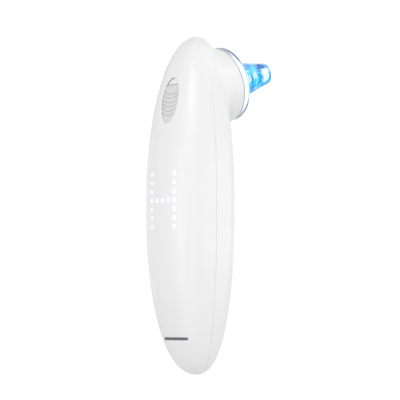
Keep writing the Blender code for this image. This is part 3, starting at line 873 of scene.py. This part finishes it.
def ramp(tree, value, *stops):
    node = add_node(tree, "ValToRGB", {0: value})
    elements = node.color_ramp.elements
    while len(elements) < len(stops):
        elements.new(0.5)
    for element, (position, colour) in zip(elements, stops):
        element.position = position
        element.color = (*colour, 1)
    return node.outputs[0]


def dented(shader, height, strength, distance):
    """Gives a shader small dents by a height."""
    inputs = {"Height": height, "Strength": strength, "Distance": distance}
    wire(shader, Normal=add_node(shader.id_data, "Bump", inputs).outputs[0])


def tint(colour, factor):
    return (*[part * factor for part in colour], 1)


def moulded(name, colour, roughness, grain=0.12 * MM, depth=0.004 * MM, mottle=0.015):
    """Moulded plastic or rubber: faint flow marks, uneven gloss and a fine grain."""
    material, tree, shader = shade(name, colour, roughness)
    place = place_of(tree)
    flow = noise(tree, place_of(tree, (1, 1, 0.35)), 9 * MM, 0.0)
    share = spread(tree, flow, 0.35, 0.65)
    colours = mixed(tree, share, tint(colour, 1 - mottle), tint(colour, 1 + mottle / 2))
    wire(shader, Base_Color=colours)
    cloud = noise(tree, place, 3 * MM, 0.0)
    least, most = roughness - ROUGHNESS_RANGE, roughness + ROUGHNESS_RANGE
    wire(shader, Roughness=spread(tree, cloud, 0.2, 0.8, least, most))
    dented(shader, noise(tree, place, grain, 2.0), 0.35, depth)
    return material


def ribbed(name, colour):
    """The slider's plastic, with painted shade that darkens its grooves."""
    material = moulded(name, colour, 0.5, depth=0.003 * MM)
    tree = material.node_tree
    shader = tree.nodes["Principled BSDF"]
    x, _, z = parts_of(tree, coordinates(tree))
    rise = calculate(tree, "DIVIDE", calculate(tree, "MULTIPLY", x, x), 2 * GROOVE_RADIUS)
    below = calculate(tree, "SUBTRACT", calculate(tree, "ADD", rise, FIRST_GROOVE_Z), z)
    row = calculate(tree, "DIVIDE", below, GROOVE_PITCH)
    nearest = calculate(tree, "MAXIMUM", calculate(tree, "ROUND", row), 0.0)
    nearest = calculate(tree, "MINIMUM", nearest, GROOVE_COUNT - 1.0)
    away = calculate(tree, "SUBTRACT", row, nearest)
    lines = band(tree, away, 0.0, 0.7 * GROOVE_WIDTH / GROOVE_PITCH)
    top = band(tree, z, KNOB_TOP - EDGE_GROOVE, 0.9 * GROOVE_WIDTH)
    colours = shader.inputs["Base Color"].links[0].from_socket
    # Painted shade: darker in the arcs of grooves and in the straight groove along the top edge.
    groove_shade = mixed(tree, calculate(tree, "MAXIMUM", lines, top), colours, tint(colour, 0.72))
    wire(shader, Base_Color=groove_shade)
    return material


def metal(name, colour, roughness, stretch=(1, 1, 12)):
    """Drawn or turned metal, with fine lines and darker stains."""
    material, tree, shader = shade(name, colour, roughness, Metallic=1.0)
    lines = noise(tree, place_of(tree, stretch), 0.3 * MM, 4.0)
    stains = noise(tree, place_of(tree), 4 * MM)
    share = spread(tree, stains, 0.35, 0.7, 0.0, 0.35)
    colours = mixed(tree, share, (*colour, 1), tint(colour, 0.7))
    wire(shader, Base_Color=colours)
    gloss = spread(tree, lines, 0.3, 0.7, roughness - 0.08, roughness + 0.1)
    wire(shader, Roughness=gloss)
    dented(shader, lines, 0.2, 0.01 * MM)
    return material


def circuit(name):
    """Green solder mask with raised tracks under it."""
    green = (0.02, 0.16, 0.06)
    material, tree, shader = shade(name, green, 0.35)
    place = place_of(tree)
    tracks = add_node(tree, "TexBrick", {
        "Vector": place,
        "Scale": 260.0,
        "Mortar Size": 0.08,
        "Color1": (0, 0, 0, 1),
        "Color2": (0.12, 0.12, 0.12, 1),
        "Mortar": (1, 1, 1, 1),
    }).outputs["Color"]
    cloud = noise(tree, place, 5 * MM)
    base = mixed(tree, spread(tree, cloud, 0.4, 0.6), (*green, 1), tint(green, 1.3))
    wire(shader, Base_Color=mixed(tree, tracks, base, (0.05, 0.32, 0.12, 1)))
    dented(shader, tracks, 0.3, 0.03 * MM)
    return material


def foam(name, colour):
    """Open-cell foam: pale, with dark pits of painted shade."""
    material, tree, shader = shade(name, colour, 0.95)
    inputs = {"Vector": place_of(tree), "Scale": 1 / (0.55 * MM), "Randomness": 1.0}
    cells = add_node(tree, "TexVoronoi", inputs).outputs["Distance"]
    # Painted shade: darker in the pits, the low middles of the cells.
    pit_shade = ramp(tree, cells, (0.15, tint(colour, 0.35)[:3]), (0.55, tint(colour, 1.3)[:3]))
    wire(shader, Base_Color=pit_shade)
    dented(shader, cells, 0.8, 0.15 * MM)
    return material


def cell_wrap(name):
    """The battery's shrink sleeve: blue, a pale band, and small creases near its ends."""
    blue = (0.06, 0.2, 0.5)
    material, tree, shader = shade(name, blue, 0.3)
    height = parts_of(tree, place_of(tree))[2]
    share = spread(tree, height, -66 * MM, -17 * MM)
    bands = ramp(
        tree,
        share,
        (0.0, (0.5, 0.5, 0.52)),
        (0.03, blue),
        (0.9, (0.07, 0.23, 0.55)),
        (0.93, (0.6, 0.62, 0.64)),
        (0.97, (0.07, 0.2, 0.5)),
    )
    wire(shader, Base_Color=bands)
    dented(shader, noise(tree, place_of(tree, (1, 1, 0.2)), 1.2 * MM), 0.4, 0.05 * MM)
    return material


def lit_lamp(name, colour, strength, edge):
    """A part that glows in one colour, with soft clouds of another."""
    material, tree, shader = shade(name, colour, 0.3, Emission_Strength=strength)
    cloud = noise(tree, place_of(tree), 2.5 * MM)
    light = ramp(tree, cloud, (0.35, edge), (0.6, colour))
    wire(shader, Emission_Color=light)
    return material


def dot_glow(name, case):
    """Light that comes through the thin case: white in each dot's middle, lilac round it, and
    the case's own white at the edge of the halo."""
    material, tree, shader = shade(name, case, 0.3, Emission_Strength=0.14)
    x, _, z = parts_of(tree, coordinates(tree))
    aside = offset_from_grid(tree, x, 0.0)
    above = offset_from_grid(tree, z, DISPLAY_Z)
    both = add_node(tree, "CombineXYZ", {0: aside, 1: above}).outputs[0]
    away = add_node(tree, "VectorMath", {0: both}, operation="LENGTH").outputs["Value"]
    share = spread(tree, away, 0.0, HALO_RADIUS / DOT_PITCH)
    edge = DOT_RADIUS / HALO_RADIUS
    lilac = (0.85, 0.85, 0.90)
    base = ramp(tree, share, (0.5 * edge, (0.95, 0.95, 0.96)), (edge, lilac), (0.98, case))
    wire(shader, Base_Color=base)
    dim = (0.05, 0.05, 0.12)
    light = ramp(tree, share, (0.55 * edge, (1, 1, 1)), (edge, dim), (0.98, (0, 0, 0)))
    wire(shader, Emission_Color=light)
    return material


def offset_from_grid(tree, value, start):
    """How far a coordinate is from the nearest line of the dot grid, in pitches."""
    pitches = calculate(tree, "DIVIDE", calculate(tree, "SUBTRACT", value, start), DOT_PITCH)
    return calculate(tree, "SUBTRACT", pitches, calculate(tree, "ROUND", pitches))


def nozzle_parts_of(tree):
    """Coordinates about the nozzle axis, in metres: all three as one, and then across, down, and
    along it from the rim."""
    inputs = {0: coordinates(tree), 1: tuple(RIM)}
    moved = add_node(tree, "VectorMath", inputs, operation="SUBTRACT")
    inputs = {"Vector": moved.outputs[0], "Rotation": (math.pi / 2 - NOZZLE_TILT, 0, 0)}
    place = add_node(tree, "Mapping", inputs).outputs[0]
    return place, *parts_of(tree, place)


def round_nozzle(tree, across, down):
    """Two waves round the nozzle axis: one at both sides and minus one above and below, and one
    above and minus one below."""
    turn = calculate(tree, "ARCTAN2", down, across)
    sides = calculate(tree, "COSINE", calculate(tree, "MULTIPLY", turn, 2.0))
    return sides, calculate(tree, "MULTIPLY", calculate(tree, "SINE", turn), -1.0)


def clear_plastic(name):
    """The head's clear outer wall: pale blue, faintly glowing with the LED light that it carries,
    with painted shade that makes it a deeper blue above and below, a fine painted dark ring where
    each step of the channel shows through, a painted dark reflection above near the tip, and polish
    marks."""
    sockets = {"Transmission_Weight": 1.0, "IOR": 1.49, "Specular_IOR_Level": 0.2}
    material, tree, shader = shade(name, (0.72, 0.93, 1.0), 0.04, Emission_Strength=1.0, **sockets)
    place, across, down, along = nozzle_parts_of(tree)
    sides, above = round_nozzle(tree, across, down)
    # Painted shade: a deeper blue on the wall's top and bottom edges.
    edges = spread(tree, sides, 0.6, -0.7, 0.0, 0.75)
    # Painted shade: a dark ring where each step of the channel shows through the wall.
    rings = 0.0
    for middle in SHADE_RINGS:
        rings = calculate(tree, "MAXIMUM", band(tree, along, middle * MM, 0.4 * MM), rings)
    # A painted dark reflection above, near the tip.
    patch = spread(tree, band(tree, along, 26.0 * MM, 3.6 * MM), 0.15, 0.5)
    patch = calculate(tree, "MULTIPLY", patch, spread(tree, above, 0.4, 0.55, 0.0, 0.9))
    base = (0.74, 0.94, 1.0, 1)
    covered = 0.0
    for share, colour in (
        (edges, (0.0, 0.26, 0.85, 1)),
        (rings, (0.0, 0.12, 0.5, 1)),
        (patch, (0.0, 0.05, 0.38, 1)),
    ):
        base = mixed(tree, share, base, colour)
        covered = calculate(tree, "MAXIMUM", covered, share)
    wire(shader, Base_Color=base)
    clearness = spread(tree, covered, 0.0, 1.0, 1.0, 0.25)
    wire(shader, Transmission_Weight=clearness)
    cloud = spread(tree, noise(tree, place, 2.5 * MM, 1.0), 0.35, 0.65)
    glow = mixed(tree, cloud, (0.0, 0.01, 0.05, 1), (0.0, 0.10, 0.13, 1))
    inside = spread(tree, along, 8.0 * MM, 9.0 * MM)
    wire(shader, Emission_Color=mixed(tree, inside, (0, 0, 0, 1), glow))
    marks = noise(tree, place, 0.8 * MM, 3.0)
    wire(shader, Roughness=spread(tree, marks, 0.3, 0.7, 0.02, 0.09))
    dented(shader, noise(tree, place, 4 * MM, 1.0), 0.1, 0.05 * MM)
    return material


def hazy_flange(name):
    """The flange: milky, with a painted glow in its middle band and painted shade that makes it
    greyer above and below.
    """
    milky = (0.95, 0.98, 1.0)
    material, tree, shader = shade(
        name, milky, 0.2, Transmission_Weight=0.25, IOR=1.3, Emission_Strength=1.0
    )
    place, _, down, _ = nozzle_parts_of(tree)
    marks = noise(tree, place, 1.5 * MM, 2.0)
    wire(shader, Roughness=spread(tree, marks, 0.3, 0.7, 0.15, 0.3))
    # Painted shade greys it above and below, and the painted glow is only in its middle band.
    share = spread(tree, calculate(tree, "ABSOLUTE", down), 11 * MM, 17 * MM)
    base = mixed(tree, share, (*milky, 1), (0.52, 0.55, 0.6, 1))
    wire(shader, Base_Color=base)
    glow = mixed(tree, share, (0.3, 0.32, 0.33, 1), (0.0, 0.0, 0.0, 1))
    wire(shader, Emission_Color=glow)
    return material


def flange_edge(name):
    """The flange's front edge: pale blue in its middle band, with painted shade, dark blue in
    clouds, above and below.
    """
    material, tree, shader = shade(name, (0.05, 0.2, 0.55), 0.4, Specular_IOR_Level=0.1)
    place, _, down, _ = nozzle_parts_of(tree)
    share = spread(tree, noise(tree, place, 4 * MM), 0.35, 0.65)
    # Painted shade: dark blue clouds above and below.
    depth = spread(tree, calculate(tree, "ABSOLUTE", down), 8 * MM, 12 * MM)
    painted_edge_shade = mixed(tree, share, (0.0, 0.03, 0.14, 1), (0.01, 0.10, 0.32, 1))
    wire(shader, Base_Color=mixed(tree, depth, (0.72, 0.88, 1.0, 1), painted_edge_shade))
    return material


def lit_channel(name):
    """The head's inner surface, glowing in soft clouds with the LED light that the clear plastic
    carries.
    Painted highlights make pale patches along its two sides, painted shade makes it a deeper blue
    above and below, and painted dark rings mark the steps of the channel."""
    material, tree, shader = shade(name, (0.0, 0.05, 0.15), 0.3, Emission_Strength=1.0)
    place, across, down, along = nozzle_parts_of(tree)
    sides, _ = round_nozzle(tree, across, down)
    stretched = add_node(tree, "Mapping", {"Vector": place, "Scale": (1, 1, 0.6)})
    level = noise(tree, stretched.outputs[0], 3.0 * MM, 2.5, 0.55)
    level = spread(tree, level, 0.32, 0.68, 0.12, 0.9)
    # Each patch of painted highlight and each painted dark ring by its distance from the rim, its
    # width, and its strength.
    patches = ((12.5, 4.0, 0.4), (19.0, 3.0, 0.4), (27.3, 3.6, 0.6))
    rings = ((23.3, 2.0, -0.2), (16.8, 0.6, -0.3), (23.6, 0.5, -0.3), (30.6, 0.6, -0.4))
    for wave, places in ((sides, patches), (1.0, rings)):
        for middle, width, strength in places:
            share = band(tree, along, middle * MM, width * MM)
            share = calculate(tree, "MULTIPLY", share, strength)
            level = calculate(tree, "ADD", level, calculate(tree, "MULTIPLY", share, wave))
    light = ramp(
        tree,
        level,
        (0.0, (0.0, 0.05, 0.28)),
        (0.2, (0.0, 0.23, 0.72)),
        (0.42, (0.0, 0.48, 0.93)),
        (0.6, (0.05, 0.76, 0.98)),
        (0.74, (1.0, 1.0, 1.0)),
    )
    wire(shader, Emission_Color=light)
    return material


def make_materials():
    return {
        "case_white": moulded(
            "satin_white", CASE_WHITE, CASE_ROUGHNESS, 1.5 * MM, 0.001 * MM, 0.006
        ),
        "track_white": moulded("track_white", (0.92, 0.92, 0.925), 0.45),
        "knob_grey": ribbed("ribbed_grey", (0.72, 0.72, 0.72)),
        "inner_white": moulded("inner_white", (0.78, 0.78, 0.78), 0.5),
        "clear_head": clear_plastic("clear_plastic"),
        "frosted": lit_lamp("frosted_glow", (0.92, 0.97, 1.0), 0.8, (0.75, 0.9, 1.0)),
        "seal_grey": moulded("seal_grey", (0.55, 0.56, 0.6), 0.6),
        "rubber_black": moulded("black_rubber", (0.03, 0.03, 0.03), 0.6, 0.2 * MM, 0.01 * MM, 0.2),
        "wire_black": moulded("black_wire", (0.015, 0.015, 0.015), 0.4, mottle=0.2),
        "wire_red": moulded("red_wire", (0.5, 0.02, 0.015), 0.4, mottle=0.1),
        "foam": foam("foam", (0.22, 0.22, 0.24)),
        "circuit_green": circuit("circuit_board"),
        "chip_black": moulded("chip_black", (0.02, 0.02, 0.02), 0.5, mottle=0.2),
        "steel": metal("bright_steel", (0.62, 0.62, 0.64), 0.3),
        "iron": metal("sintered_iron", (0.12, 0.12, 0.13), 0.55, (1, 1, 1)),
        "cell_wrap": cell_wrap("cell_wrap"),
        "lamp_blue": lit_lamp("blue_lamp", (0.35, 0.7, 1.0), 4.0, (0.1, 0.3, 1.0)),
    }


def dress(materials):
    """Gives every CAD node the material of its slot."""
    for part in frame["record"]["subparts"]:
        node = frame["nodes"][part["node"]]
        node.data.materials.clear()
        node.data.materials.append(materials[part["material_slot"]])
        smooth(node.data, CAD_CREASE)


# The studio


def direction(azimuth, elevation):
    """From the object. Azimuth 0 is in front of it, and 90 is towards +X."""
    a = math.radians(azimuth)
    e = math.radians(elevation)
    return Vector((math.sin(a) * math.cos(e), -math.cos(a) * math.cos(e), math.sin(e)))


def softbox(name, azimuth, elevation, power):
    """A round area light that faces the object."""
    light = bpy.data.lights.new(name, "AREA")
    light.shape = "DISK"
    light.size = SOFTBOX_SIZE
    light.energy = power
    obj = add_object(name, light)
    obj.location = direction(azimuth, elevation) * SOFTBOX_DISTANCE
    obj.rotation_euler = (-obj.location).to_track_quat("-Z", "Y").to_euler()


def make_studio():
    """An even white room with soft lights and a pale floor, in front of a white backdrop."""
    world = bpy.data.worlds.new("studio")
    bpy.context.scene.world = world
    world.use_nodes = True
    tree = world.node_tree
    tree.nodes["Background"].inputs["Color"].default_value = (1, 1, 1, 1)
    tree.nodes["Background"].inputs["Strength"].default_value = WORLD_LIGHT
    inputs = {"Color": (1, 1, 1, 1), "Strength": BACKDROP_LIGHT}
    backdrop = add_node(tree, "Background", inputs)
    seen = add_node(tree, "LightPath").outputs["Is Camera Ray"]
    inputs = {0: seen, 1: tree.nodes["Background"].outputs[0], 2: backdrop.outputs[0]}
    both = add_node(tree, "MixShader", inputs)
    tree.links.new(both.outputs[0], tree.nodes["World Output"].inputs[0])

    for number, (azimuth, elevation, power) in enumerate(SOFTBOXES):
        softbox(f"softbox_{number + 1}", azimuth, elevation, power)

    bpy.ops.mesh.primitive_grid_add(x_subdivisions=24, y_subdivisions=24, size=FLOOR_SIZE)
    floor = bpy.context.object
    floor.name = "studio_floor"
    floor.location.z = FLOOR_Z
    pale = moulded("pale_floor", (0.8, 0.8, 0.8), 0.7, 2 * MM, 0.02 * MM, 0.004)
    floor.data.materials.append(pale)


def make_camera():
    back = direction(CAMERA_AZIMUTH, CAMERA_ELEVATION)
    azimuth = math.radians(CAMERA_AZIMUTH)
    right = Vector((math.cos(azimuth), math.sin(azimuth), 0))
    up = back.cross(right)
    data = bpy.data.cameras.new("camera")
    data.sensor_width = SENSOR
    data.lens = LENS
    data.clip_start = 0.05
    data.clip_end = 20.0
    camera = add_object("camera", data)
    place = back * CAMERA_DISTANCE + right * CAMERA_RIGHT + up * CAMERA_UP
    turn = Matrix((right, up, back)).transposed().to_4x4()
    camera.matrix_world = Matrix.Translation(place) @ turn
    bpy.context.scene.camera = camera


def settle(piece, body, slot, *nodes):
    """Says which body a piece rides on and hides the CAD nodes that it stands for. Its finish, the
    slot, is not used.
    """
    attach(piece, body)
    if nodes:
        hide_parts(*nodes)


def build():
    materials = make_materials()
    dress(materials)
    settle(make_front_cover(materials["case_white"]), "handpiece", "case_white", "front_cover")
    settle(make_rear_cover(materials["case_white"]), "handpiece", "case_white", "rear_cover")
    knob, stem, track = make_slider(materials["knob_grey"], materials["track_white"])
    settle(knob, "slider", "knob_grey", "slide_knob")
    settle(track, "handpiece", "track_white", "slider_track")
    settle(make_dots(dot_glow("dot_glow", CASE_WHITE)), "handpiece", "frosted")
    ink = moulded("print_ink", (0.16, 0.16, 0.17), 0.5, mottle=0.1)
    settle(make_print(ink), "handpiece", "chip_black")
    head = make_suction_head(
        materials["clear_head"],
        lit_channel("lit_channel"),
        hazy_flange("hazy_flange"),
        flange_edge("flange_edge"),
    )
    settle(head, "head", "clear_head", "suction_head")
    parts = make_nozzle_parts(materials)
    slots = {part["node"]: part["material_slot"] for part in frame["record"]["subparts"]}
    for node, piece in parts.items():
        body = "head" if node == "filter_sponge" else "handpiece"
        settle(piece, body, slots[node], node)
    for node in ("battery_pad", "motor_pad"):
        pad = make_pad(f"{node}_foam", node, materials["foam"])
        settle(pad, "handpiece", "foam", node)
    make_studio()
    make_camera()
    bpy.context.scene.view_settings.view_transform = "Standard"


build()
